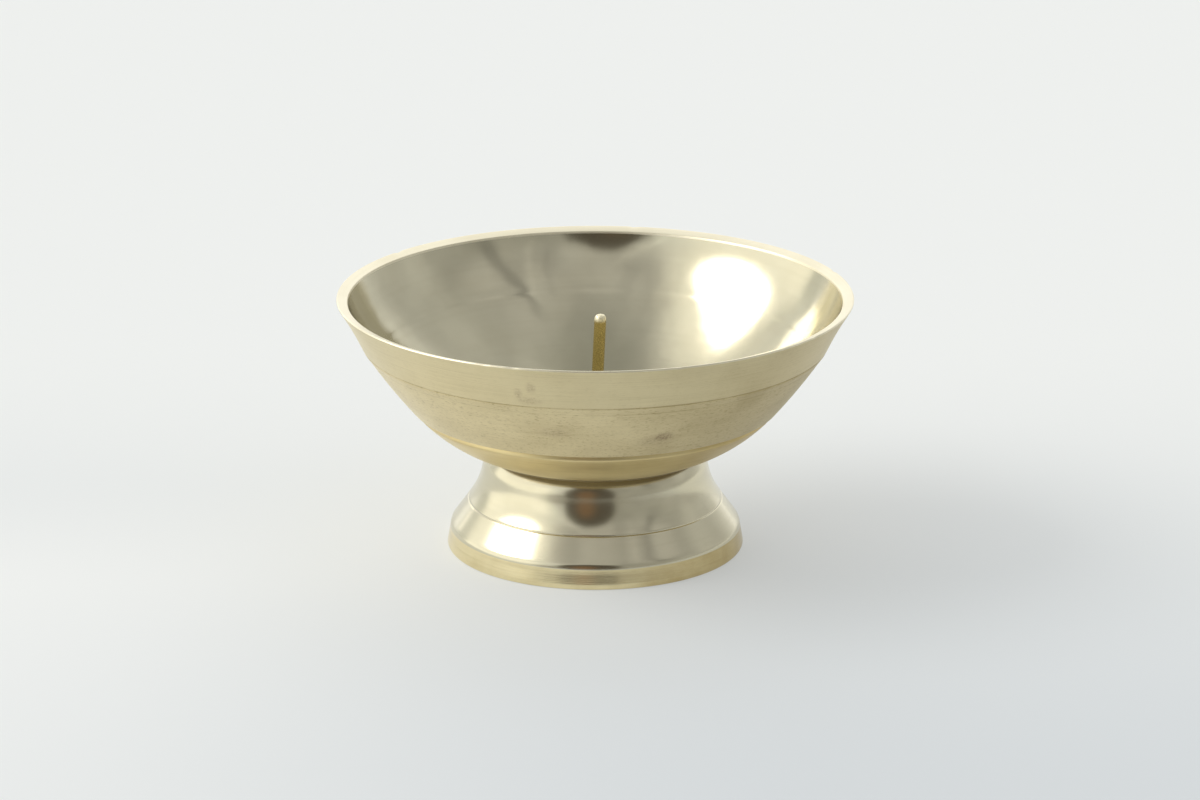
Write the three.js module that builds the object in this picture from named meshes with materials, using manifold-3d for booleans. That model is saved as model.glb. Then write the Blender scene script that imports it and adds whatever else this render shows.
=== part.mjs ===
// A small turned-brass pricket candle holder: a shallow bowl on a flared, hollow foot, with an upright
// spike in the middle that a candle is pressed onto. The spike's threaded shank runs down through the
// bowl and the foot, and a washer and a nut under the foot hold the three together.
//
// Millimetres, +Z up. The origin is on the table, under the centre of the foot.

import * as THREE from 'three';
import { mergeVertices } from 'three/addons/utils/BufferGeometryUtils.js';
import Module from 'manifold-3d';

const wasm = await Module();
wasm.setup();

// ---------------------------------------------------------------- driving dimensions

const HEIGHT = 32.7;              // table to the top of the lip
const RIM_RADIUS = 32.5;          // outside of the lip
const LIP_WIDTH = 1.4;            // outside to inside
const LIP_DROP = 0.4;             // how far the lip slopes down towards the inside
const JOINT_HEIGHT = 12.9;        // plane where the bowl stands on the foot
const BOWL_BASE_RADIUS = 15.15;   // bottom edge of the bowl, a little wider than the foot's top

// Each bulge or hollow is the sagitta of a turned curve: how far it stands off its chord.
const UNDERSIDE_BULGE = 0.47;
const BODY_BULGE = 0.16;          // outside, from the groove to the incised line
const BAND_HOLLOW = 0.12;         // the plain band below the lip
const WALL_HOLLOW = 0.33;         // inside, from the lip to the ring
const DISH_HOLLOW = 0.55;         // inside, from the ring to the floor

const CREST_RADIUS = 22.52;       // rounded edge where the underside meets the groove
const CREST_HEIGHT = 18.2;
const GROOVE_HEIGHT = 0.55;       // lower wall of the groove, from the crest to the root
const GROOVE_LEAN = 0.15;         // how far that wall leans inwards
const GROOVE_WIDTH = 0.81;        // lower edge of the body, outwards from the crest
const GROOVE_RISE = 0.1;          // how far the groove's upper wall climbs on its way out
const BAND_RADIUS = 29.4;         // incised line under the plain band below the lip
const BAND_HEIGHT = 26.9;
const BAND_SLOPE = 33;            // lean of the wall there, degrees from upright
const RING_RADIUS = 26.91;        // incised ring inside the bowl
const RING_HEIGHT = 25.4;
const FLOOR_RADIUS = 13.2;        // flat floor inside the bowl
const FLOOR_HEIGHT = 14.5;
const DISH_RADIUS = 14.9;         // where the floor's fillet meets the dished wall
const DISH_HEIGHT = 14.95;

const NECK_RADIUS = 14.33;        // top of the flare, where the rounded top edge begins
const NECK_HEIGHT = 10.3;
const FOOT_TOP_RADIUS = 13.05;    // flat top of the foot, inside its rounded edge
const TOP_EDGE_BULGE = 0.23;
const FLARE_HOLLOW = 0.25;        // from the incised line up to the neck
const FOOT_LINE_RADIUS = 16.1;    // incised line half way down the foot
const FOOT_LINE_HEIGHT = 6.15;
const FOOT_LINE_SLOPE = -35;
const SHOULDER_RADIUS = 18.2;     // bottom of the flare
const SHOULDER_HEIGHT = 3.2;
const SHOULDER_BULGE = 0.05;
const FOOT_BAND_RADIUS = 18.42;   // top of the edge band
const FOOT_BAND_HEIGHT = 2.4;
const FOOT_RADIUS = 18.78;        // widest part of the edge band
const FOOT_WEB = 1.8;             // thickness of the foot's closed top
const FOOT_RING_INNER_RADIUS = 16.6; // inside of the ring that the foot stands on
const HOLLOW_CORNER_RADIUS = 12.1; // top corner of the foot's hollow
const HOLLOW_CORNER_HEIGHT = 10.2;
const HOLLOW_CORNER_FILLET = 0.25;
const HOLLOW_WAIST_RADIUS = 14.0;
const HOLLOW_WAIST_HEIGHT = 5.2;
const HOLLOW_WAIST_BULGE = 0.15;
const HOLLOW_MOUTH_BULGE = 0.35;

const LINE_WIDTH = 0.3;           // incised lines
const LINE_DEPTH = 0.1;

const SPIKE_DIAMETER = 1.5;
const SPIKE_TOP = 30.2;           // height of the spike's tip above the table
const SPIKE_LEAN = 2.6;           // degrees towards +X
const COLLAR_DIAMETER = 5.0;
const COLLAR_THICKNESS = 0.9;
const SHANK_DIAMETER = 2.9;       // M3 thread, shown as a plain cylinder
const SHANK_END = 7.4;            // height of the shank's lower end
const TIP_TAPER = 0.75;           // length of the spike's rounded tip
const TIP_RADIUS = 0.4;
const TIP_CROWN = 0.12;
const TIP_BULGE = 0.06;

const BORE_DIAMETER = 3.4;        // clearance hole in the bowl's floor and the foot's web
const WASHER_DIAMETER = 7.0;      // plain M3 washer
const WASHER_BORE = 3.2;
const WASHER_THICKNESS = 0.5;
const NUT_ACROSS_FLATS = 5.5;     // M3 hexagon nut
const NUT_THICKNESS = 2.4;
const NUT_BORE = 3.1;
const NUT_FACE_SHARE = 0.97;      // round face of the nut, as a share of its width across flats

const CONTACT_GAP = 0.02;         // between pieces that are clamped face to face
const EDGE = 0.2;                 // size of a lightly broken edge
const LARGE_TURN_STEPS = 60;      // facets round the bowl and the foot
const SMALL_TURN_STEPS = 24;      // facets round the pin, washer and nut

// ---------------------------------------------------------------- outlines and solids

// A half section in the plane of radius and height, walked with the metal on the left.
class Outline {
  constructor(radius, height) {
    this.points = [new THREE.Vector2(radius, height)];
  }

  line(radius, height) {
    this.points.push(new THREE.Vector2(radius, height));
    return this;
  }

  // A circular arc that bulges out of the metal by `rise`, or into it where rise is negative.
  arc(radius, height, rise, steps) {
    const from = this.points.at(-1);
    const to = new THREE.Vector2(radius, height);
    const chord = to.clone().sub(from);
    const halfChord = chord.length() / 2;
    const arcRadius = (halfChord ** 2 + rise ** 2) / (2 * rise);
    const outward = new THREE.Vector2(chord.y, -chord.x).normalize();
    const centre = from.clone().add(to).multiplyScalar(0.5).addScaledVector(outward, rise - arcRadius);
    const sweep = 4 * Math.atan(rise / halfChord);
    for (let step = 1; step < steps; step += 1) {
      this.points.push(from.clone().rotateAround(centre, sweep * step / steps));
    }
    this.points.push(to);
    return this;
  }

  // A narrow V cut, centred on the given point of a surface that leans `slope` degrees from upright.
  groove(radius, height, width, depth, slope) {
    const angle = THREE.MathUtils.degToRad(slope);
    const along = new THREE.Vector2(Math.sin(angle), Math.cos(angle)).multiplyScalar(width / 2);
    const inward = new THREE.Vector2(-Math.cos(angle), Math.sin(angle)).multiplyScalar(depth);
    this.line(radius - along.x, height - along.y);
    this.line(radius + inward.x, height + inward.y);
    this.line(radius + along.x, height + along.y);
    return this;
  }

  close() {
    this.points.push(this.points[0].clone());
    return this;
  }
}

// The solid that an outline sweeps round the Z axis.
function turned(outline, steps) {
  const geometry = new THREE.LatheGeometry(outline.points, steps);
  geometry.rotateX(Math.PI / 2);
  return geometry;
}

function toSolid(geometry) {
  const bare = geometry.clone();
  bare.deleteAttribute('normal');
  bare.deleteAttribute('uv');
  const merged = mergeVertices(bare);
  return new wasm.Manifold(new wasm.Mesh({
    numProp: 3,
    vertProperties: new Float32Array(merged.attributes.position.array),
    triVerts: new Uint32Array(merged.index.array),
  }));
}

function fromSolid(solid) {
  const mesh = solid.getMesh();
  const geometry = new THREE.BufferGeometry();
  geometry.setAttribute('position', new THREE.BufferAttribute(mesh.vertProperties, mesh.numProp));
  geometry.setIndex(new THREE.BufferAttribute(mesh.triVerts, 1));
  geometry.computeVertexNormals();
  return geometry;
}

function brass(color, roughness) {
  return new THREE.MeshStandardMaterial({ color, roughness, metalness: 1 });
}

function piece(name, geometry, material) {
  const mesh = new THREE.Mesh(geometry, material);
  mesh.name = name;
  return mesh;
}

// ---------------------------------------------------------------- bowl

// A dished wall with a sloping lip, a plain band under it, a stepped groove above the underside, a flat
// floor inside and a clearance hole for the pin.
function bowlGeometry() {
  const bore = BORE_DIAMETER / 2;
  const lipInside = RIM_RADIUS - LIP_WIDTH;
  const lipLow = HEIGHT - LIP_DROP;
  const crestRound = 0.28;
  const crestInset = 0.1;
  const crestBulge = 0.05;
  const floorFillet = 0.1;
  const ringSlope = 216;
  const outline = new Outline(bore, JOINT_HEIGHT)
    .line(BOWL_BASE_RADIUS - EDGE, JOINT_HEIGHT)
    .line(BOWL_BASE_RADIUS, JOINT_HEIGHT + EDGE)
    .arc(CREST_RADIUS - crestInset, CREST_HEIGHT - crestRound, UNDERSIDE_BULGE, 4)
    .arc(CREST_RADIUS, CREST_HEIGHT, crestBulge, 2)
    .line(CREST_RADIUS - GROOVE_LEAN, CREST_HEIGHT + GROOVE_HEIGHT)
    .line(CREST_RADIUS + GROOVE_WIDTH, CREST_HEIGHT + GROOVE_HEIGHT + GROOVE_RISE)
    .arc(BAND_RADIUS - LINE_WIDTH / 2, BAND_HEIGHT - LINE_WIDTH, BODY_BULGE, 5)
    .groove(BAND_RADIUS, BAND_HEIGHT, LINE_WIDTH, LINE_DEPTH, BAND_SLOPE)
    .arc(RIM_RADIUS, HEIGHT - EDGE, -BAND_HOLLOW, 3)
    .line(RIM_RADIUS - EDGE, HEIGHT)
    .line(lipInside + EDGE / 2, lipLow)
    .line(lipInside, lipLow - EDGE / 2)
    .arc(RING_RADIUS + LINE_WIDTH / 2, RING_HEIGHT + LINE_WIDTH / 2, -WALL_HOLLOW, 5)
    .groove(RING_RADIUS, RING_HEIGHT, LINE_WIDTH / 2, LINE_DEPTH / 2, ringSlope)
    .arc(DISH_RADIUS, DISH_HEIGHT, -DISH_HOLLOW, 6)
    .arc(FLOOR_RADIUS, FLOOR_HEIGHT, -floorFillet, 2)
    .line(bore, FLOOR_HEIGHT)
    .close();
  return turned(outline, LARGE_TURN_STEPS);
}

// ---------------------------------------------------------------- foot

// A hollow bell: closed at the top by a web with a clearance hole, and open below.
function footGeometry() {
  const bore = BORE_DIAMETER / 2;
  const top = JOINT_HEIGHT - CONTACT_GAP;
  const webUnderside = top - FOOT_WEB;
  const bottomEdge = 0.4;
  const bottomInset = 0.28;
  const bottomBulge = 0.08;
  const outline = new Outline(bore, webUnderside)
    .line(HOLLOW_CORNER_RADIUS - (webUnderside - HOLLOW_CORNER_HEIGHT), webUnderside)
    .arc(HOLLOW_CORNER_RADIUS, HOLLOW_CORNER_HEIGHT, -HOLLOW_CORNER_FILLET, 3)
    .arc(HOLLOW_WAIST_RADIUS, HOLLOW_WAIST_HEIGHT, HOLLOW_WAIST_BULGE, 2)
    .arc(FOOT_RING_INNER_RADIUS, 0, HOLLOW_MOUTH_BULGE, 3)
    .line(FOOT_RADIUS - bottomInset, 0)
    .arc(FOOT_RADIUS, bottomEdge, bottomBulge, 2)
    .line(FOOT_BAND_RADIUS, FOOT_BAND_HEIGHT)
    .arc(SHOULDER_RADIUS, SHOULDER_HEIGHT, SHOULDER_BULGE, 3)
    .line(FOOT_LINE_RADIUS + LINE_WIDTH / 4, FOOT_LINE_HEIGHT - LINE_WIDTH / 2)
    .groove(FOOT_LINE_RADIUS, FOOT_LINE_HEIGHT, LINE_WIDTH, LINE_DEPTH, FOOT_LINE_SLOPE)
    .arc(NECK_RADIUS, NECK_HEIGHT, -FLARE_HOLLOW, 5)
    .arc(FOOT_TOP_RADIUS, top, TOP_EDGE_BULGE, 4)
    .line(bore, top)
    .close();
  return turned(outline, LARGE_TURN_STEPS);
}

// ---------------------------------------------------------------- pin

// The collar rests on the bowl's floor, and the shank hangs down from it through the bowl and the foot.
function collarAndShankGeometry() {
  const shank = SHANK_DIAMETER / 2;
  const collar = COLLAR_DIAMETER / 2;
  const seat = FLOOR_HEIGHT + CONTACT_GAP;
  const top = seat + COLLAR_THICKNESS;
  const outline = new Outline(0, SHANK_END)
    .line(shank - EDGE, SHANK_END)
    .line(shank, SHANK_END + EDGE)
    .line(shank, seat)
    .line(collar, seat)
    .line(collar, top - EDGE)
    .line(collar - EDGE, top)
    .line(0, top);
  return turned(outline, SMALL_TURN_STEPS);
}

// A plain rod with a blunt, rounded tip. Its lower end is buried in the collar, and it leans about there.
function spikeGeometry() {
  const radius = SPIKE_DIAMETER / 2;
  const lean = THREE.MathUtils.degToRad(SPIKE_LEAN);
  const rootHeight = FLOOR_HEIGHT + COLLAR_THICKNESS / 2;
  const length = (SPIKE_TOP - rootHeight) / Math.cos(lean);
  const outline = new Outline(0, 0)
    .line(radius, 0)
    .line(radius, length - TIP_TAPER)
    .arc(TIP_RADIUS, length - TIP_CROWN, TIP_BULGE, 3)
    .line(0, length);
  const geometry = turned(outline, SMALL_TURN_STEPS);
  geometry.rotateY(lean);
  geometry.translate(0, 0, rootHeight);
  return geometry;
}

function pinGeometry() {
  return fromSolid(toSolid(collarAndShankGeometry()).add(toSolid(spikeGeometry())));
}

// ---------------------------------------------------------------- washer and nut

function washerGeometry() {
  const inside = WASHER_BORE / 2;
  const outside = WASHER_DIAMETER / 2;
  const outline = new Outline(inside, 0)
    .line(outside, 0)
    .line(outside, WASHER_THICKNESS)
    .line(inside, WASHER_THICKNESS)
    .close();
  return turned(outline, SMALL_TURN_STEPS);
}

// A hexagon with a round hole, its corners chamfered by the cone that a turned nut is faced with.
function nutGeometry() {
  const cornerRadius = NUT_ACROSS_FLATS / Math.sqrt(3);
  const faceRadius = NUT_ACROSS_FLATS / 2 * NUT_FACE_SHARE;
  const chamfer = (cornerRadius - faceRadius) * Math.tan(Math.PI / 6);
  const overhang = 0.5;
  const hexagon = new THREE.Shape();
  for (let corner = 0; corner < 6; corner += 1) {
    const angle = Math.PI / 3 * corner;
    const x = cornerRadius * Math.cos(angle);
    const y = cornerRadius * Math.sin(angle);
    if (corner === 0) {
      hexagon.moveTo(x, y);
    } else {
      hexagon.lineTo(x, y);
    }
  }
  hexagon.closePath();
  hexagon.holes.push(new THREE.Path().absarc(0, 0, NUT_BORE / 2, 0, Math.PI * 2, true));
  const prism = new THREE.ExtrudeGeometry(hexagon, {
    depth: NUT_THICKNESS,
    bevelEnabled: false,
    curveSegments: SMALL_TURN_STEPS / 2,
  });
  const wideRadius = cornerRadius + overhang;
  const wideHeight = chamfer + overhang * Math.tan(Math.PI / 6);
  const facing = new Outline(0, 0)
    .line(faceRadius, 0)
    .line(wideRadius, wideHeight)
    .line(wideRadius, NUT_THICKNESS - wideHeight)
    .line(faceRadius, NUT_THICKNESS)
    .line(0, NUT_THICKNESS);
  return fromSolid(toSolid(prism).intersect(toSolid(turned(facing, SMALL_TURN_STEPS * 2))));
}

// ---------------------------------------------------------------- assembly

const washerHeight = JOINT_HEIGHT - CONTACT_GAP - FOOT_WEB - CONTACT_GAP - WASHER_THICKNESS;
const nutHeight = washerHeight - CONTACT_GAP - NUT_THICKNESS;

const bowl = piece('bowl', bowlGeometry(), brass(0xcfc294, 0.28));
const foot = piece('foot', footGeometry(), brass(0xcdc39d, 0.16));
const pin = piece('pricket_pin', pinGeometry(), brass(0xb89846, 0.3));
const washer = piece('washer', washerGeometry(), brass(0xc2ae6c, 0.4));
washer.position.z = washerHeight;
const nut = piece('hex_nut', nutGeometry(), brass(0xc2ae6c, 0.35));
nut.position.z = nutHeight;

const candleHolder = new THREE.Group();
candleHolder.name = 'pricket_candle_holder';
candleHolder.add(bowl, foot, pin, washer, nut);

export default candleHolder;
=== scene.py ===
"""A small turned-brass pricket candle holder on a pale floor in soft window light.

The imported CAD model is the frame. Each of its pieces is replaced by a fine one, turned from the same sizes,
with the small edges, cuts, nicks and tool marks that the CAD leaves out.
Outlines are in millimetres and the scene is in metres. +Z is up, and the front is -Y.
"""

import math

import bmesh
import bpy
import numpy as np
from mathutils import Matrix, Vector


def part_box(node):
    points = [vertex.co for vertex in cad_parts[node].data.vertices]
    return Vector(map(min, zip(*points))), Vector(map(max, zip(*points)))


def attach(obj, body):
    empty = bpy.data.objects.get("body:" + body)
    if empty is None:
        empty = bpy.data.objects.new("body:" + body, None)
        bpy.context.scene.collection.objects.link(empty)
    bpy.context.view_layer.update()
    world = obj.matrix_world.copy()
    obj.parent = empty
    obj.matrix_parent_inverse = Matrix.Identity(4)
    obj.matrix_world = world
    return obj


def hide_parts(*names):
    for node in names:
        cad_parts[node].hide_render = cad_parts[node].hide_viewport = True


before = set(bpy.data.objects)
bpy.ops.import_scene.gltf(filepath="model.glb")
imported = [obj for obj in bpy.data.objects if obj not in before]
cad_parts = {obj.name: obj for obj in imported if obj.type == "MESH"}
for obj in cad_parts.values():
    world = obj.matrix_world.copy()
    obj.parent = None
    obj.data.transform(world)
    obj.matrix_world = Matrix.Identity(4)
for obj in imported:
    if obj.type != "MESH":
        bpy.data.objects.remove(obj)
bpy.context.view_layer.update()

MM = 0.001

# ------------------------------------------------------------------ sizes, from the frame where it has them


def node_box(node):
    """The lowest and highest corners of a CAD node, in millimetres."""
    low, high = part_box(node)
    return low / MM, high / MM


BOWL_LOW, BOWL_HIGH = node_box("bowl")
_, FOOT_HIGH = node_box("foot")
PIN_LOW, PIN_HIGH = node_box("pricket_pin")
WASHER_LOW, WASHER_HIGH = node_box("washer")
NUT_LOW, NUT_HIGH = node_box("hex_nut")

RIM_RADIUS = BOWL_HIGH.x
RIM_HEIGHT = BOWL_HIGH.z
JOINT_HEIGHT = BOWL_LOW.z
LIP_WIDTH = 1.4
LIP_DROP = 0.4
BAND_RADIUS, BAND_HEIGHT = 29.4, 26.9
FAINT_LINE_RADIUS, FAINT_LINE_HEIGHT = 28.75, 25.95
CREST_RADIUS, CREST_HEIGHT = 22.52, 18.2
GROOVE_HEIGHT = 0.55
GROOVE_LEAN = 0.15
GROOVE_WIDTH = 0.81
GROOVE_RISE = 0.1
BOWL_BASE_RADIUS = 15.15
RING_RADIUS, RING_HEIGHT = 26.91, 25.4
DISH_RADIUS, DISH_HEIGHT = 14.9, 14.95
FLOOR_RADIUS, FLOOR_HEIGHT = 13.2, 14.5
BORE_RADIUS = 1.7

FOOT_RADIUS = FOOT_HIGH.x
FOOT_TOP = FOOT_HIGH.z
FOOT_TOP_RADIUS = 13.05
FOOT_NECK_RADIUS, FOOT_NECK_HEIGHT = 14.33, 10.3
FOOT_LINE_RADIUS, FOOT_LINE_HEIGHT = 16.1, 6.15
FOOT_SHOULDER_RADIUS, FOOT_SHOULDER_HEIGHT = 18.2, 3.2
FOOT_BAND_RADIUS, FOOT_BAND_HEIGHT = 18.42, 2.4
FOOT_RING_INNER_RADIUS = 16.6
FOOT_WEB = 1.8

SPIKE_RADIUS = 0.75
SPIKE_LEAN = math.radians(2.6)
COLLAR_RADIUS = PIN_HIGH.x
COLLAR_THICKNESS = 0.9
SHANK_RADIUS = 1.45
THREAD_PITCH = 0.5
THREAD_DEPTH = 0.27
WASHER_BORE_RADIUS = 1.6
NUT_BORE_RADIUS = 1.55

# ------------------------------------------------------------------ outlines and turned meshes


class Outline:
    """A half section in millimetres, walked with the metal on the left. Each stretch has a finish."""

    STEP = 0.04

    def __init__(self, radius, height):
        self.points = [np.array([radius, height], float)]
        self.finishes = [0]

    def _add(self, points, finish):
        self.points += list(points)
        self.finishes += [finish] * len(points)
        return self

    def line(self, radius, height, finish=0):
        start, end = self.points[-1], np.array([radius, height], float)
        steps = max(1, math.ceil(np.linalg.norm(end - start) / self.STEP))
        share = np.arange(1, steps + 1)[:, None] / steps
        return self._add(start + (end - start) * share, finish)

    def arc(self, radius, height, rise, finish=0):
        """A circular arc that bulges out of the metal by rise, or into it where rise is negative."""
        start, end = self.points[-1], np.array([radius, height], float)
        chord = end - start
        half = np.linalg.norm(chord) / 2
        arc_radius = (half**2 + rise**2) / (2 * rise)
        outward = np.array([chord[1], -chord[0]]) / (2 * half)
        centre = (start + end) / 2 + outward * (rise - arc_radius)
        sweep = 4 * math.atan(rise / half)
        steps = max(2, math.ceil(abs(arc_radius * sweep) / self.STEP))
        turn = sweep * np.arange(1, steps + 1) / steps
        x, y = start - centre
        arm = np.stack([x * np.cos(turn) - y * np.sin(turn), x * np.sin(turn) + y * np.cos(turn)], 1)
        return self._add(centre + arm, finish)

    def groove(self, radius, height, width, depth, slope, finish=0):
        """A narrow V cut, centred on a point of a surface that leans slope degrees from upright."""
        angle = math.radians(slope)
        along = np.array([math.sin(angle), math.cos(angle)]) * width / 2
        inward = np.array([-math.cos(angle), math.sin(angle)]) * depth
        middle = np.array([radius, height])
        for corner in (middle - along, middle + inward, middle + along):
            self.line(*corner, finish)
        return self

    def rows(self, blur, widest, turn):
        """A closed outline's points and finishes, its corners rounded by blur millimetres, no further
        apart than widest and no more than turn radians of bend from one to the next."""
        points = np.array(self.points[:-1])
        reach = math.ceil(4 * blur / self.STEP)
        offsets = np.arange(-reach, reach + 1)
        weights = np.exp(-((offsets * self.STEP / blur) ** 2) / 2)
        weights /= weights.sum()
        rounded = sum(w * np.roll(points, -o, 0) for w, o in zip(weights, offsets))
        ring = np.vstack([rounded, rounded[:1]])
        edges = np.diff(ring, axis=0)
        heading = np.unwrap(np.arctan2(edges[:, 1], edges[:, 0]))
        bend = np.abs(np.gradient(heading))
        need = np.concatenate([[0], np.cumsum(np.linalg.norm(edges, axis=1) / widest + bend / turn)])
        wanted = np.linspace(0, need[-1], math.ceil(need[-1]) + 1)[:-1]
        rows = np.stack([np.interp(wanted, need, ring[:, axis]) for axis in (0, 1)], 1)
        stretch = np.searchsorted(need, wanted, side="right")
        return rows, np.array(self.finishes)[np.minimum(stretch, len(self.finishes) - 1)]


def mesh_object(name, points, faces, kinds, sharp_angle=None):
    """A smooth-shaded object from points in millimetres. Points in one place are joined."""
    mesh = bpy.data.meshes.new(name)
    mesh.from_pydata((np.asarray(points) * MM).tolist(), [], faces)
    mesh.polygons.foreach_set("material_index", np.asarray(kinds, dtype=np.int32))
    build = bmesh.new()
    build.from_mesh(mesh)
    bmesh.ops.remove_doubles(build, verts=build.verts, dist=1e-4 * MM)
    build.to_mesh(mesh)
    build.free()
    mesh.shade_smooth()
    if sharp_angle:
        mesh.set_sharp_from_angle(angle=sharp_angle)
    piece = bpy.data.objects.new(name, mesh)
    bpy.context.scene.collection.objects.link(piece)
    return piece


def turned(name, rows, finishes, segments, closed=True, shape=None):
    """Rows of (radius, height) swept round the Z axis. shape may move the grid of points first."""
    count = len(rows)
    angle = np.repeat((np.arange(segments) * 2 * math.pi / segments)[:, None], count, 1)
    radius = np.tile(rows[:, 0], (segments, 1))
    height = np.tile(rows[:, 1], (segments, 1))
    if shape:
        radius, height = shape(radius, height, angle)
    points = np.stack([radius * np.cos(angle), radius * np.sin(angle), height], 2).reshape(-1, 3)
    stretches = count if closed else count - 1
    i, j = (grid.ravel() for grid in np.meshgrid(range(segments), range(stretches), indexing="ij"))
    after, above = (i + 1) % segments, (j + 1) % count
    corners = [i * count + j, after * count + j, after * count + above, i * count + above]
    kinds = np.tile(np.asarray(finishes)[:stretches], segments)
    return mesh_object(name, points, np.stack(corners, 1).tolist(), kinds)


# ------------------------------------------------------------------ node trees


class Graph:
    """Short calls for building a node tree. An input is a number, a tuple or another node's output."""

    def __init__(self, tree):
        self.tree = tree
        tree.nodes.clear()

    def node(self, kind, *inputs, output=0, named=None, **settings):
        made = self.tree.nodes.new(kind)
        for key, value in settings.items():
            setattr(made, key, value)
        for key, value in [*enumerate(inputs), *(named or {}).items()]:
            if value is None:
                continue
            if isinstance(value, bpy.types.NodeSocket):
                self.tree.links.new(value, made.inputs[key])
            else:
                made.inputs[key].default_value = value
        return made if output is None else made.outputs[output]

    def math(self, operation, *inputs):
        return self.node("ShaderNodeMath", *inputs, operation=operation)

    def add(self, total, value, factor):
        """total plus value times factor."""
        return self.math("ADD", total, self.math("MULTIPLY", value, factor))

    def map(self, value, low, high, start=0.0, end=1.0):
        """value from low to high becomes start to end, eased at both ends."""
        return self.node("ShaderNodeMapRange", value, low, high, start, end, interpolation_type="SMOOTHSTEP")

    def within(self, value, low, high, soft):
        """1 between low and high, 0 outside, with an edge that is soft to either side."""
        rise = self.map(value, low - soft, low + soft)
        fall = self.map(value, high - soft, high + soft, 1.0, 0.0)
        return self.math("MULTIPLY", rise, fall)

    def blend(self, share, first, second, mode="MIX"):
        """Two colours mixed: share 0 is the first."""
        made = self.node("ShaderNodeMix", output=None, data_type="RGBA", blend_type=mode)
        for socket, value in zip((made.inputs[0], made.inputs[6], made.inputs[7]), (share, first, second)):
            if isinstance(value, bpy.types.NodeSocket):
                self.tree.links.new(value, socket)
            else:
                socket.default_value = value
        return made.outputs[2]

    def noise(self, vector, scale, detail=3.0, roughness=0.5):
        named = {"Vector": vector, "Scale": scale, "Detail": detail, "Roughness": roughness}
        return self.node("ShaderNodeTexNoise", named=named)


def rgb(red, green, blue):
    return (red, green, blue, 1.0)


# ------------------------------------------------------------------ brass

PALE = (0.76, 0.665, 0.42)
PALE_DARK = (0.50, 0.41, 0.22)
SILVERY = (0.71, 0.655, 0.485)
SILVERY_DARK = (0.52, 0.46, 0.31)
GOLDEN_DARK = (0.45, 0.33, 0.13)
FASTENER_DARK = (0.42, 0.32, 0.14)
STAIN_BROWN = (0.27, 0.17, 0.1)
# Painted shade for the bowl's joint above the foot.
SHADE_BROWN = (0.17, 0.13, 0.075)
RUBBED_BRIGHT = (0.97, 0.9, 0.68)

AXIS_GAP = 0.05  # keeps divisions by the radius away from the axis, in mm
LINE_DEPTH = 0.012
PIT_DEPTH = 0.022


def place(graph):
    """The point in millimetres, its x, y and z, and its distance from the axis."""
    point = graph.node("ShaderNodeTexCoord", output=3)
    scaled = graph.node("ShaderNodeVectorMath", point, output=None, operation="SCALE")
    scaled.inputs[3].default_value = 1 / MM
    split = graph.node("ShaderNodeSeparateXYZ", scaled.outputs[0], output=None)
    x, y, z = split.outputs
    squares = graph.math("ADD", graph.math("MULTIPLY", x, x), graph.math("MULTIPLY", y, y))
    radius = graph.math("SQRT", squares)
    return scaled.outputs[0], x, y, z, radius


def swirl(graph, where, around, along, lean):
    """Coordinates that run round the axis slowly and along the outline fast, so noise becomes tool lines.
    lean is 1 where the outline widens upwards and -1 where it narrows."""
    _, x, y, z, radius = where
    run = graph.math("ADD", z, graph.math("MULTIPLY", radius, lean))
    safe = graph.math("MAXIMUM", radius, AXIS_GAP)
    across = graph.math("MULTIPLY", graph.math("DIVIDE", x, safe), around)
    down = graph.math("MULTIPLY", graph.math("DIVIDE", y, safe), around)
    return graph.node("ShaderNodeCombineXYZ", across, down, graph.math("MULTIPLY", run, along))


def stain(graph, where, azimuth, radius, height, wide, tall, ragged):
    """How stained the metal is, from 0 to 1, round a place on a turned wall. azimuth is in degrees, 0 at the
    front and 90 at +X. wide and tall are the stain's reach in millimetres."""
    _, x, y, z, _ = where
    angle = math.radians(azimuth)
    east = graph.math("SUBTRACT", x, radius * math.sin(angle))
    north = graph.math("ADD", y, radius * math.cos(angle))
    up = graph.math("SUBTRACT", z, height)
    flat = graph.math("ADD", graph.math("MULTIPLY", east, east), graph.math("MULTIPLY", north, north))
    steep = graph.math("MULTIPLY", up, up)
    far = graph.math("ADD", graph.math("DIVIDE", flat, wide**2), graph.math("DIVIDE", steep, tall**2))
    near = graph.map(graph.math("SQRT", far), 0.2, 1.0, 1.0, 0.0)
    return graph.math("MULTIPLY", near, ragged)


def with_stains(graph, where, colour, stains):
    """colour with brown stains on it. Each is an azimuth, radius, height, width, tallness and strength."""
    blot = 0.0
    ragged = graph.map(graph.noise(where[0], 3.4, 4.0, 0.75), 0.4, 0.66, 0.3, 1.0)
    for *spot, strength in stains:
        blot = graph.add(blot, stain(graph, where, *spot, ragged), strength)
    return graph.blend(graph.math("MINIMUM", blot, 0.7), colour, rgb(*STAIN_BROWN))


def tool_marks(graph, where, streaks, dashes, lines, grain, wave):
    """The normal of a surface with a slow ripple, fine turned lines and small pits."""
    relief = None
    if wave:
        ripple = graph.noise(where[0], 0.2, 1.5)
        named = {"Strength": 1.0, "Distance": wave * MM, "Height": ripple}
        relief = graph.node("ShaderNodeBump", named=named)
    named = {"Strength": lines, "Distance": LINE_DEPTH * MM, "Height": streaks, "Normal": relief}
    relief = graph.node("ShaderNodeBump", named=named)
    if grain:
        pits = graph.math("ADD", graph.noise(where[0], 3.2, 3.0, 0.6), dashes)
        strength = min(1.0, grain * 0.6)
        named = {"Strength": strength, "Distance": PIT_DEPTH * MM, "Height": pits, "Normal": relief}
        relief = graph.node("ShaderNodeBump", named=named)
    return relief


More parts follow.
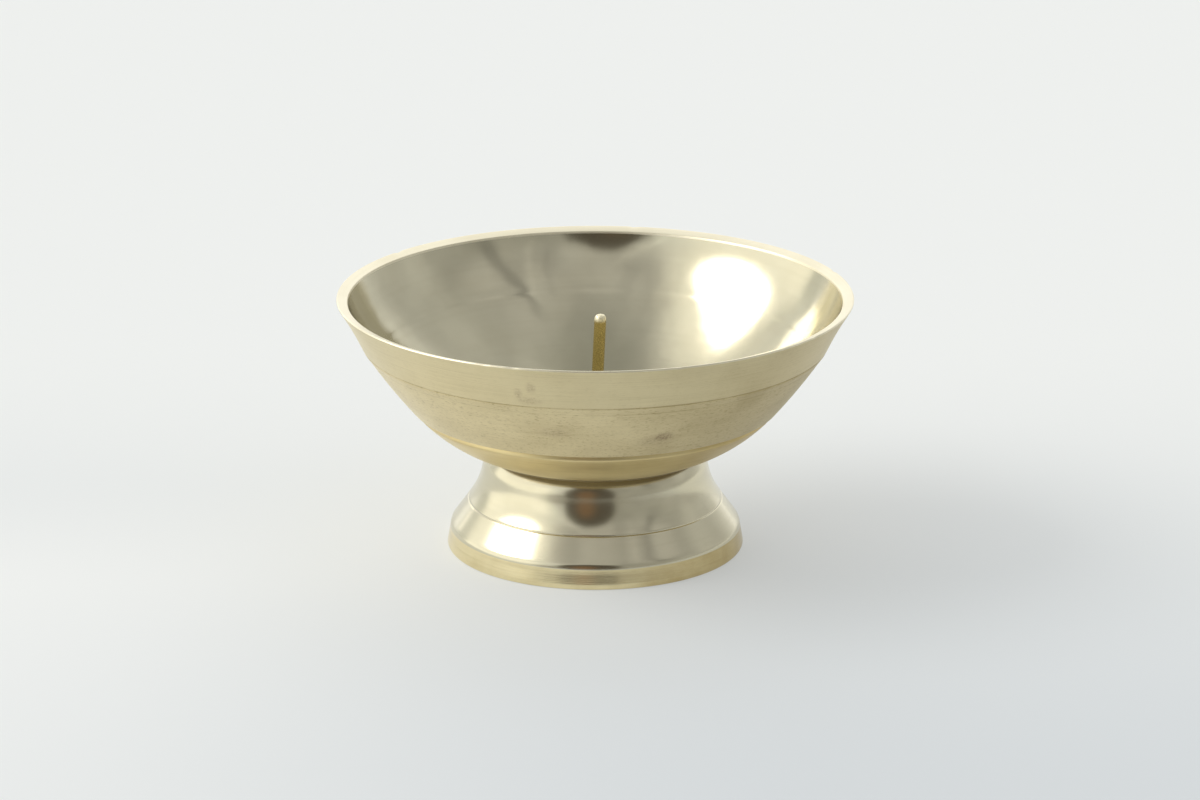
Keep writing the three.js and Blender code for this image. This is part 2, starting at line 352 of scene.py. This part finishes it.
def brass(
    name,
    tone,
    dark,
    roughness,
    anisotropy=0.0,
    lines=0.3,
    line_pitch=0.16,
    grain=0.0,
    mottle=0.25,
    wave=0.0,
    lean=1.0,
    stains=(),
    cuts=(),
    joint_shade=None,
    worn_above=None,
    side_shade=0.0,
    haze=0.0,
):
    """Turned brass. tone is its clean colour and dark the colour it takes where it has oxidised or where
    shade is painted, lines the strength of its tool marks and line_pitch their spacing, grain the strength of
    its small pits, mottle the strength of its clouds, wave the depth of the ripple that hand polishing
    leaves, and cuts the heights of lines where dark residue stays, with how much. Between a pair of heights
    the colour turns dark brown, painted shade in the joint, none at the first height, and above worn_above
    the metal is rubbed bright. A number for the +X side paints that side darker by that much, painted shade
    away from the window, and haze the strength of the fine dust that makes the metal paler at a glancing
    angle."""
    material = bpy.data.materials.new(name)
    material.use_nodes = True
    graph = Graph(material.node_tree)
    where = place(graph)
    point, x, _, z, radius = where
    streaks = graph.noise(swirl(graph, where, 3.0, 1 / line_pitch, lean), 1.0, 4.0, 0.6)
    bands = graph.noise(swirl(graph, where, 1.2, 0.3 / line_pitch, lean), 1.0, 2.0)
    clouds = graph.noise(point, 0.16, 4.0, 0.55)
    dashes = graph.noise(swirl(graph, where, 46.0, 4.6, lean), 1.0, 2.0, 0.6) if grain else None

    tarnish_and_shade = graph.math("MULTIPLY", graph.map(clouds, 0.36, 0.72), mottle)
    tarnish_and_shade = graph.add(tarnish_and_shade, graph.map(bands, 0.42, 0.75), mottle * 0.4)
    tarnish_and_shade = graph.add(tarnish_and_shade, graph.map(streaks, 0.45, 0.75), lines * 0.45)
    if grain:
        tarnish_and_shade = graph.add(tarnish_and_shade, graph.map(dashes, 0.53, 0.72), grain * 0.4)
    for height, strength in cuts:
        near = graph.within(z, height - 0.09, height + 0.07, 0.05)
        tarnish_and_shade = graph.add(tarnish_and_shade, near, graph.map(clouds, 0.35, 0.65, strength / 3, strength))
    # Painted shade: the +X side, away from the window, is darkened towards the dark colour.
    if side_shade:
        facing = graph.math("DIVIDE", x, graph.math("MAXIMUM", radius, AXIS_GAP))
        tarnish_and_shade = graph.add(tarnish_and_shade, graph.map(facing, 0.0, 0.75), side_shade)

    spread = graph.math("MULTIPLY", graph.math("SUBTRACT", bands, 0.5), 0.12 * roughness)
    gloss = graph.add(graph.math("ADD", roughness, spread), tarnish_and_shade, 0.08)
    colour = graph.blend(graph.math("MINIMUM", tarnish_and_shade, 1.0), rgb(*tone), rgb(*dark))
    if stains:
        colour = with_stains(graph, where, colour, stains)
    # Painted shade: between the two heights the colour turns dark brown, darkest at the joint above the foot.
    if joint_shade:
        painted_shade = graph.math("MULTIPLY", graph.map(z, *joint_shade), 0.8)
        colour = graph.blend(painted_shade, colour, rgb(*SHADE_BROWN))
    if worn_above is not None:
        rubbed = graph.map(z, worn_above, worn_above + 0.5)
        colour = graph.blend(rubbed, colour, rgb(*RUBBED_BRIGHT))
        gloss = graph.add(gloss, rubbed, 0.28)

    relief = tool_marks(graph, where, streaks, dashes, lines, grain, wave)
    named = {"Base Color": colour, "Metallic": 1.0, "Roughness": gloss, "Normal": relief}
    shader = graph.node("ShaderNodeBsdfPrincipled", output=None, named=named)
    if haze:
        shader.inputs["Sheen Weight"].default_value = haze
        shader.inputs["Sheen Roughness"].default_value = 0.4
    if anisotropy:
        shader.inputs["Anisotropic"].default_value = anisotropy
        shader.inputs["Anisotropic Rotation"].default_value = 0.25
        tangent = graph.node("ShaderNodeTangent", direction_type="RADIAL", axis="Z")
        graph.tree.links.new(tangent, shader.inputs["Tangent"])
    graph.node("ShaderNodeOutputMaterial", shader.outputs[0], output=None)
    return material


def give(piece, *materials):
    """Put the materials in the piece's slots, in the order of its finishes."""
    for material in materials:
        piece.data.materials.append(material)
    return piece


# ------------------------------------------------------------------ bowl

BAND, BODY, UNDERSIDE, INSIDE, LIP = range(5)

# Azimuth in degrees from the front towards +X, then depth and width in mm.
RIM_NICKS = (
    (18.2, 0.2, 0.35),
    (45.2, 0.2, 0.3),
    (56.5, 0.24, 0.5),
    (50.5, 0.1, 0.9),
    (-17.8, 0.1, 0.4),
    (-24.5, 0.1, 0.3),
    (110, 0.15, 0.5),
    (171, 0.14, 0.4),
    (-128, 0.2, 0.5),
)


def rim_nicks(radius, height, angle):
    """Small dents where the lip's outer edge has been knocked."""
    edge = np.exp(-((radius - RIM_RADIUS) ** 2 + (height - RIM_HEIGHT) ** 2) / 0.35**2)
    push = np.zeros_like(radius)
    for azimuth, depth, width in RIM_NICKS:
        away = angle - math.radians(azimuth - 90)
        away = (away + math.pi) % (2 * math.pi) - math.pi
        push += depth * np.exp(-((away * RIM_RADIUS / width) ** 2)) * edge
    return radius - push * 0.7, height - push * 0.7


def bowl_band_brass():
    """Fine-turned and satin, with a smudge at the front left and painted shade on the +X side."""
    smudges = (
        (-17.8, 30.6, 28.4, 0.8, 1.6, 0.55),
        (-14.6, 31.0, 29.5, 0.9, 1.7, 0.4),
        (-15.5, 30.3, 27.8, 2.4, 0.8, 0.35),
    )
    return brass("bowl_band", PALE, PALE_DARK, 0.44, anisotropy=0.4, lines=0.6, line_pitch=0.1, mottle=0.16,
                 grain=0.4, stains=smudges, side_shade=0.35, haze=0.15)


def bowl_body_brass():
    """Rougher and pitted, with dark residue in its two lines, a few brown spots and painted shade on the +X
    side.
    """
    spots = (
        (18.8, 26.0, 21.9, 1.7, 1.0, 0.75),
        (17.0, 25.6, 21.3, 3.6, 1.4, 0.3),
        (-11.0, 26.6, 22.9, 2.8, 1.1, 0.35),
        (101.0, 27.6, 24.2, 2.0, 1.6, 0.4),
        (-160.0, 26.4, 22.4, 2.2, 1.2, 0.45),
    )
    cuts = ((BAND_HEIGHT, 0.6), (FAINT_LINE_HEIGHT, 0.25))
    return brass("bowl_body", (0.79, 0.69, 0.44), PALE_DARK, 0.54, lines=0.25, line_pitch=0.2, mottle=0.25,
                 grain=1.3, stains=spots, cuts=cuts, side_shade=0.6, haze=0.25)


def bowl_underside_brass():
    """Golden, with painted shade in the joint above the foot and on its +X side."""
    joint_shade = (JOINT_HEIGHT + 0.6, JOINT_HEIGHT + 0.15)
    return brass("bowl_underside", (0.76, 0.63, 0.34), GOLDEN_DARK, 0.34, anisotropy=0.3, lines=0.5,
                 line_pitch=0.22, mottle=0.2, joint_shade=joint_shade, side_shade=0.5)


def bowl_inside_brass():
    """Polished nearly to a mirror, with the slow ripple of hand polishing."""
    return brass("bowl_inside", (0.69, 0.64, 0.475), SILVERY_DARK, 0.13, lines=0.05, line_pitch=0.3,
                 mottle=0.16, wave=0.06)


def bowl_lip_brass():
    """Rubbed pale by hands."""
    return brass("bowl_lip", (0.88, 0.81, 0.62), PALE_DARK, 0.34, lines=0.2, line_pitch=0.1, mottle=0.1)


def make_bowl():
    edge = 0.2
    base_edge = 0.3
    line_width, line_depth = 0.24, 0.1
    lip_inside = RIM_RADIUS - LIP_WIDTH
    lip_low = RIM_HEIGHT - LIP_DROP
    outline = Outline(BORE_RADIUS, JOINT_HEIGHT)
    outline.line(BOWL_BASE_RADIUS - base_edge, JOINT_HEIGHT, UNDERSIDE)
    outline.arc(BOWL_BASE_RADIUS + 0.05, JOINT_HEIGHT + base_edge - 0.05, 0.07, UNDERSIDE)
    outline.arc(CREST_RADIUS - 0.1, CREST_HEIGHT - 0.28, 0.47, UNDERSIDE)
    outline.arc(CREST_RADIUS, CREST_HEIGHT, 0.05, UNDERSIDE)
    outline.line(CREST_RADIUS - GROOVE_LEAN, CREST_HEIGHT + GROOVE_HEIGHT, UNDERSIDE)
    outline.line(CREST_RADIUS + GROOVE_WIDTH, CREST_HEIGHT + GROOVE_HEIGHT + GROOVE_RISE, UNDERSIDE)
    outline.arc(FAINT_LINE_RADIUS - 0.04, FAINT_LINE_HEIGHT - 0.06, 0.13, BODY)
    outline.groove(FAINT_LINE_RADIUS, FAINT_LINE_HEIGHT, 0.12, 0.012, 36, BODY)
    outline.line(BAND_RADIUS - line_width / 2, BAND_HEIGHT - line_width, BODY)
    outline.groove(BAND_RADIUS, BAND_HEIGHT, line_width, line_depth, 33, BODY)
    outline.arc(RIM_RADIUS, RIM_HEIGHT - edge, -0.12, BAND)
    outline.arc(RIM_RADIUS - edge, RIM_HEIGHT, 0.05, LIP)
    outline.line(lip_inside + edge / 2, lip_low, LIP)
    outline.arc(lip_inside, lip_low - edge / 2, 0.03, LIP)
    outline.arc(RING_RADIUS + 0.1, RING_HEIGHT + 0.13, -0.33, INSIDE)
    outline.groove(RING_RADIUS, RING_HEIGHT, 0.3, 0.014, 216, INSIDE)
    outline.arc(DISH_RADIUS, DISH_HEIGHT, -0.55, INSIDE)
    outline.arc(FLOOR_RADIUS, FLOOR_HEIGHT, -0.1, INSIDE)
    outline.line(BORE_RADIUS, FLOOR_HEIGHT, INSIDE)
    outline.line(BORE_RADIUS, JOINT_HEIGHT, INSIDE)
    rows, finishes = outline.rows(blur=0.055, widest=0.62, turn=math.radians(11))
    piece = turned("bowl_fine", rows, finishes, 448, shape=rim_nicks)
    return give(
        piece,
        bowl_band_brass(),
        bowl_body_brass(),
        bowl_underside_brass(),
        bowl_inside_brass(),
        bowl_lip_brass(),
    )


# ------------------------------------------------------------------ foot

FOOT_OUTSIDE, FOOT_EDGE, FOOT_INSIDE = range(3)


def foot_polished_brass():
    """Polished, with a little dark residue in its line."""
    return brass("foot_polished", SILVERY, SILVERY_DARK, 0.17, lines=0.14, line_pitch=0.3, mottle=0.15,
                 wave=0.04, lean=-1.0, cuts=((FOOT_LINE_HEIGHT, 0.3),))


def foot_edge_brass():
    """Golden and polished, with painted shade on the +X side."""
    return brass("foot_edge", (0.88, 0.77, 0.48), GOLDEN_DARK, 0.14, lines=0.2, line_pitch=0.2, mottle=0.25,
                 lean=-1.0, side_shade=0.5)


def foot_cast_brass():
    """Dull and rough, as cast."""
    return brass("foot_cast", (0.52, 0.42, 0.22), (0.24, 0.18, 0.09), 0.55, lines=0.12, grain=1.5,
                 mottle=0.6, lean=-1.0)


def make_foot():
    line_width, line_depth = 0.24, 0.09
    web = FOOT_TOP - FOOT_WEB
    corner_radius, corner_height = 12.1, 10.2
    waist_radius, waist_height = 14.0, 5.2
    outline = Outline(BORE_RADIUS, web)
    outline.line(corner_radius - (web - corner_height), web, FOOT_INSIDE)
    outline.arc(corner_radius, corner_height, -0.25, FOOT_INSIDE)
    outline.arc(waist_radius, waist_height, 0.15, FOOT_INSIDE)
    outline.arc(FOOT_RING_INNER_RADIUS, 0, 0.35, FOOT_INSIDE)
    outline.line(FOOT_RADIUS - 0.28, 0, FOOT_EDGE)
    outline.arc(FOOT_RADIUS, 0.4, 0.08, FOOT_EDGE)
    outline.line(FOOT_BAND_RADIUS, FOOT_BAND_HEIGHT, FOOT_EDGE)
    outline.arc(FOOT_SHOULDER_RADIUS, FOOT_SHOULDER_HEIGHT, 0.05, FOOT_OUTSIDE)
    outline.line(FOOT_LINE_RADIUS + line_width / 4, FOOT_LINE_HEIGHT - line_width / 2, FOOT_OUTSIDE)
    outline.groove(FOOT_LINE_RADIUS, FOOT_LINE_HEIGHT, line_width, line_depth, -35, FOOT_OUTSIDE)
    outline.arc(FOOT_NECK_RADIUS, FOOT_NECK_HEIGHT, -0.25, FOOT_OUTSIDE)
    outline.arc(FOOT_TOP_RADIUS, FOOT_TOP, 0.23, FOOT_OUTSIDE)
    outline.line(BORE_RADIUS, FOOT_TOP, FOOT_INSIDE)
    outline.line(BORE_RADIUS, web, FOOT_INSIDE)
    rows, finishes = outline.rows(blur=0.055, widest=0.5, turn=math.radians(11))
    piece = turned("foot_fine", rows, finishes, 384)
    return give(piece, foot_polished_brass(), foot_edge_brass(), foot_cast_brass())


# ------------------------------------------------------------------ pin

SPIKE, MACHINED = range(2)


def pin_rod_brass(tip):
    """Yellow rod, its tip rubbed bright."""
    return brass("pin_rod", (0.80, 0.63, 0.25), (0.46, 0.32, 0.10), 0.26, lines=0.12, line_pitch=0.3,
                 mottle=0.25, worn_above=tip - 1.1)


def pin_machined_brass():
    """The collar and the shank, straight from the lathe."""
    return brass("pin_machined", (0.76, 0.63, 0.33), (0.46, 0.35, 0.15), 0.3, lines=0.4, line_pitch=0.1,
                 mottle=0.25)


def pin_outline(bottom, thread_top, seat, collar_top, top):
    """Rows of (radius, height) from the shank's lower end to the spike's tip, before the spike leans."""
    edge = 0.16
    fillet = 0.22
    tip_flat = 0.36
    collar = COLLAR_RADIUS - edge
    quarter = np.linspace(0, math.pi / 2, 7)
    sine, cosine = np.sin(quarter), np.cos(quarter)
    dome = np.linspace(0, math.pi / 2, 10)
    dome_radius = tip_flat + (SPIKE_RADIUS - tip_flat) * np.cos(dome) ** 0.9
    return np.vstack([
        np.linspace((0.0, bottom), (SHANK_RADIUS - 0.25, bottom), 5),
        np.linspace((SHANK_RADIUS - 0.2, bottom + 0.02), (SHANK_RADIUS, bottom + 0.25), 4),
        np.linspace((SHANK_RADIUS, bottom + 0.28), (SHANK_RADIUS, thread_top), 64),
        [(SHANK_RADIUS, thread_top + 0.1), (SHANK_RADIUS, seat - 0.02)],
        [(SHANK_RADIUS + 0.04, seat), (collar, seat)],
        np.stack([collar + edge * sine, seat + edge - edge * cosine], 1),
        np.stack([collar + edge * cosine, collar_top - edge + edge * sine], 1),
        np.linspace((collar - 0.05, collar_top), (SPIKE_RADIUS + 0.3, collar_top), 6),
        np.stack([SPIKE_RADIUS + fillet - fillet * sine, collar_top + fillet - fillet * cosine], 1),
        np.linspace((SPIKE_RADIUS, collar_top + 0.4), (SPIKE_RADIUS, top - 0.85), 40),
        np.stack([dome_radius, top - 0.8 + 0.72 * np.sin(dome)], 1),
        [(0.26, top - 0.02), (0.12, top), (0.0, top)],
    ])


def make_pin():
    """One turned piece: a threaded shank, a collar that rests on the bowl's floor, and the leaning spike."""
    bottom, top = PIN_LOW.z, PIN_HIGH.z
    thread_top = NUT_HIGH.z - 0.3
    seat = FLOOR_HEIGHT + 0.02
    collar_top = seat + COLLAR_THICKNESS
    rows = pin_outline(bottom, thread_top, seat, collar_top, top)
    finishes = np.where(rows[:, 1] > collar_top + 0.1, SPIKE, MACHINED)

    def cut_thread(radius, height, angle):
        phase = (height / THREAD_PITCH - angle / (2 * math.pi)) % 1
        ridge = 1 - np.abs(2 * phase - 1)
        lead_in = np.clip((height - bottom - 0.1) / 0.15, 0, 1)
        run_out = np.clip((thread_top - height) / 0.2, 0, 1)
        on_shank = radius > SHANK_RADIUS - 0.02
        return radius - THREAD_DEPTH * ridge * lead_in * run_out * on_shank, height

    piece = turned("pricket_pin_fine", rows, finishes, 48, closed=False, shape=cut_thread)
    spike_root = (collar_top + 0.05) * MM
    for vertex in piece.data.vertices:
        if vertex.co.z > spike_root:
            vertex.co.x += (vertex.co.z - spike_root) * math.tan(SPIKE_LEAN)
    return give(piece, pin_rod_brass(top), pin_machined_brass())


# ------------------------------------------------------------------ washer and nut


def make_washer():
    inside, outside = WASHER_BORE_RADIUS, WASHER_HIGH.x
    low, high = WASHER_LOW.z, WASHER_HIGH.z
    outline = Outline(inside, low)
    outline.line(outside - 0.1, low)
    outline.arc(outside, low + 0.1, 0.02)
    outline.line(outside, high)
    outline.line(inside, high)
    outline.line(inside, low)
    rows, finishes = outline.rows(blur=0.04, widest=0.3, turn=math.radians(15))
    piece = turned("washer_fine", rows, finishes, 96)
    return give(piece, brass("washer_brass", (0.74, 0.62, 0.33), FASTENER_DARK, 0.36, mottle=0.4))


def make_nut():
    """A hexagon nut: flats, corners chamfered at 30 degrees on both faces, and a countersunk bore."""
    segments = 6 * 16
    across_flats = NUT_HIGH.y * 2
    thickness = NUT_HIGH.z - NUT_LOW.z
    face_radius = across_flats / 2 * 0.97
    sink = 0.2
    sink_radius = NUT_BORE_RADIUS + sink
    angles = np.arange(segments) * 2 * math.pi / segments
    flat_angle = (angles % (math.pi / 3)) - math.pi / 6
    hexagon = across_flats / 2 / np.cos(flat_angle)
    drop = (hexagon - face_radius) * math.tan(math.pi / 6)

    def circle(radius, height):
        return np.full(segments, radius), np.full(segments, height)

    rings = [
        circle(NUT_BORE_RADIUS, sink),
        circle(sink_radius, 0.0),
        circle(face_radius, 0.0),
        (hexagon, drop),
        (hexagon, thickness - drop),
        circle(face_radius, thickness),
        circle(sink_radius, thickness),
        circle(NUT_BORE_RADIUS, thickness - sink),
    ]
    count = len(rings)
    points = []
    for index, angle in enumerate(angles):
        for radius, height in rings:
            r = radius[index]
            points.append((r * math.cos(angle), r * math.sin(angle), NUT_LOW.z + height[index]))
    faces = []
    for i in range(segments):
        after = (i + 1) % segments
        for j in range(count):
            above = (j + 1) % count
            faces.append([i * count + j, after * count + j, after * count + above, i * count + above])
    piece = mesh_object("hex_nut_fine", points, faces, np.zeros(len(faces)), sharp_angle=math.radians(24))
    return give(piece, brass("nut_brass", (0.76, 0.64, 0.34), FASTENER_DARK, 0.3, lines=0.25, mottle=0.4))


# ------------------------------------------------------------------ floor, light and camera


def make_floor():
    """Pale cloth. It glows a little, painted light that keeps its shadows soft.
    From below it is clear, so that views of the underside show the object."""
    mesh = bpy.data.meshes.new("floor")
    half = 2.5
    corners = [(-half, -half, 0), (half, -half, 0), (half, half, 0), (-half, half, 0)]
    mesh.from_pydata(corners, [], [(0, 1, 2, 3)])
    floor = bpy.data.objects.new("floor", mesh)
    bpy.context.scene.collection.objects.link(floor)
    return give(floor, floor_cloth())


def floor_cloth():
    """Painted light: whiter towards the back, with more glow at the front left."""
    material = bpy.data.materials.new("floor_cloth")
    material.use_nodes = True
    graph = Graph(material.node_tree)
    point = graph.node("ShaderNodeTexCoord", output=3)
    x, y, _ = graph.node("ShaderNodeSeparateXYZ", point, output=None).outputs
    # Painted light: colour and glow are lighter towards the back, and the glow is lighter still at the front
    # left on the window's side.
    depth = graph.map(y, -0.11, 0.09)
    colour = graph.blend(depth, rgb(0.40, 0.42, 0.436), rgb(0.508, 0.516, 0.512))
    glow = graph.blend(depth, rgb(0.30, 0.315, 0.325), rgb(0.39, 0.398, 0.395))
    front_left = graph.math("MULTIPLY", graph.map(x, 0.03, -0.09), graph.map(y, 0.03, -0.02))
    glow = graph.blend(front_left, glow, rgb(0.46, 0.46, 0.445))
    cloth = graph.node("ShaderNodeBsdfDiffuse", colour)
    lit = graph.node("ShaderNodeAddShader", cloth, graph.node("ShaderNodeEmission", glow))
    clear = graph.node("ShaderNodeBsdfTransparent")
    under = graph.node("ShaderNodeNewGeometry", output=None).outputs["Backfacing"]
    shown = graph.node("ShaderNodeMixShader", under, lit, clear)
    graph.node("ShaderNodeOutputMaterial", shown, output=None)
    return material


class Room:
    """The light all round, painted by direction. Angles are in degrees: azimuth 0 is the front, 90 the left
    and 180 the back, and elevation 90 is straight up. Each patch is painted over those before it."""

    # Centre azimuth, half width, lowest and highest elevation, slant and brightness of folds and edges.
    FOLDS = (
        (-56, 4.0, 24, 66, 0.0, 0.6),
        (-42, 1.6, 30, 64, -0.5, 1.3),
        (-30, 2.5, 36, 64, -0.5, 0.82),
        (24, 1.8, 28, 48, -1.1, 1.35),
        (24, 6.0, 46, 66, 0.0, 0.88),
        (124, 5.0, 8, 56, 0.0, 0.75),
    )

    def __init__(self, graph):
        self.graph = graph
        self.direction = graph.node("ShaderNodeTexCoord")
        x, y, z = graph.node("ShaderNodeSeparateXYZ", self.direction, output=None).outputs
        degrees = 180 / math.pi
        left = graph.math("MULTIPLY", x, -1.0)
        front = graph.math("MULTIPLY", y, -1.0)
        self.azimuth = graph.math("MULTIPLY", graph.math("ARCTAN2", left, front), degrees)
        self.elevation = graph.math("MULTIPLY", graph.math("ARCSINE", z), degrees)
        self.light = None

    def paint(self, share, *colour):
        self.light = self.graph.blend(share, self.light, rgb(*colour))

    def oval(self, azimuth, elevation, half_width, half_height, soft):
        """1 inside an oval of the room, 0 outside."""
        graph = self.graph
        across = graph.math("DIVIDE", graph.math("SUBTRACT", self.azimuth, azimuth), half_width)
        up = graph.math("DIVIDE", graph.math("SUBTRACT", self.elevation, elevation), half_height)
        squares = graph.math("ADD", graph.math("POWER", across, 2.0), graph.math("POWER", up, 2.0))
        return graph.map(graph.math("SQRT", squares), 1 - soft, 1 + soft, 1.0, 0.0)

    def block(self, azimuths, elevations):
        """1 inside a block of the room, 0 outside. Each pair of limits is followed by its softness."""
        graph = self.graph
        across = graph.within(self.azimuth, *azimuths)
        return graph.math("MULTIPLY", across, graph.within(self.elevation, *elevations))

    def walls(self):
        """Dimmer on the right than on the left, dim overhead, bright at the back."""
        graph = self.graph
        azimuth, elevation = self.azimuth, self.elevation
        right = graph.map(azimuth, -110, -60)
        self.light = graph.blend(right, rgb(0.55, 0.56, 0.55), rgb(0.40, 0.405, 0.39))
        self.paint(graph.map(azimuth, -25, 50), 0.80, 0.82, 0.81)
        upper = graph.math("MULTIPLY", graph.map(elevation, 22, 46), graph.map(azimuth, -100, -70))
        self.paint(upper, 0.52, 0.525, 0.52)
        self.paint(graph.map(elevation, 60, 84), 0.36, 0.37, 0.355)
        turn = graph.math("ABSOLUTE", azimuth)
        back = graph.math("MULTIPLY", graph.map(turn, 122, 160), graph.map(elevation, 50, 72, 1.0, 0.0))
        self.paint(back, 1.2, 1.22, 1.22)

    def folds(self):
        """Darker and lighter uprights, some of them slanted, and faint clouds over everything."""
        graph = self.graph
        for centre, half_width, low, high, lean, shade in self.FOLDS:
            height = graph.math("SUBTRACT", self.elevation, (low + high) / 2)
            upright = graph.math("SUBTRACT", self.azimuth, graph.math("MULTIPLY", height, lean))
            across = graph.within(upright, centre - half_width, centre + half_width, 1.5)
            fold = graph.math("MULTIPLY", across, graph.within(self.elevation, low, high, 4.0))
            shaded = graph.blend(1.0, self.light, rgb(shade, shade, shade), "MULTIPLY")
            self.light = graph.blend(fold, self.light, shaded)
        cloudy = graph.map(graph.noise(self.direction, 2.6, 3.0), 0.3, 0.7, 0.88, 1.12)
        grey = graph.node("ShaderNodeCombineColor", cloudy, cloudy, cloudy)
        self.light = graph.blend(1.0, self.light, grey, "MULTIPLY")

    def window(self):
        """Its sill, the glow round it, the window, and further back a gap and a narrow bright strip."""
        self.paint(self.block((45, 126, 10), (-30, 24, 6)), 1.4, 1.4, 1.32)
        self.paint(self.oval(88, 39, 42, 25, 0.4), 1.2, 1.2, 1.15)
        self.paint(self.oval(90, 39, 28, 13, 0.08), 5.0, 4.9, 4.7)
        self.paint(self.block((123, 135, 2.5), (-4, 14, 2)), 0.75, 0.77, 0.74)
        self.paint(self.block((138, 152, 2), (9, 20, 1.5)), 2.6, 2.55, 2.4)

    def figure(self):
        """A dim table edge, and a dark figure with a warmer middle behind the camera."""
        self.paint(self.oval(8, -2, 46, 11, 0.4), 0.30, 0.29, 0.26)
        self.paint(self.oval(5, 14, 25, 26, 0.1), 0.10, 0.09, 0.075)
        self.paint(self.oval(9, 12, 9, 14, 0.5), 0.22, 0.14, 0.085)


def make_world():
    """A pale room with one wide window on the left. The camera sees a plain backdrop instead of it."""
    world = bpy.data.worlds.new("studio")
    world.use_nodes = True
    graph = Graph(world.node_tree)
    room = Room(graph)
    room.walls()
    room.folds()
    room.window()
    room.figure()
    seen = graph.node("ShaderNodeLightPath", output=None).outputs["Is Camera Ray"]
    shown = graph.blend(seen, room.light, rgb(0.83, 0.84, 0.84))
    graph.node("ShaderNodeOutputWorld", graph.node("ShaderNodeBackground", shown), output=None)
    bpy.context.scene.world = world


def make_camera():
    """A long lens in front of the object, looking 17.49 degrees down."""
    camera = bpy.data.objects.new("camera", bpy.data.cameras.new("camera"))
    camera.data.lens = 160
    camera.data.sensor_width = 36
    camera.data.clip_start = 0.01
    camera.data.clip_end = 20
    camera.location = (0.0006, -0.6427, 0.2214)
    camera.rotation_euler = (math.radians(90 - 17.49), 0, 0)
    bpy.context.scene.collection.objects.link(camera)
    bpy.context.scene.camera = camera


# ------------------------------------------------------------------ assembly

make_camera()
make_world()
make_floor()

for piece, node, slot in (
    (make_bowl(), "bowl", "bowl_brass"),
    (make_foot(), "foot", "foot_brass"),
    (make_pin(), "pricket_pin", "pin_brass"),
    (make_washer(), "washer", "fastener_brass"),
    (make_nut(), "hex_nut", "fastener_brass"),
):
    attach(piece, "root")
    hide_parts(node)

bpy.context.scene.view_settings.view_transform = "Standard"
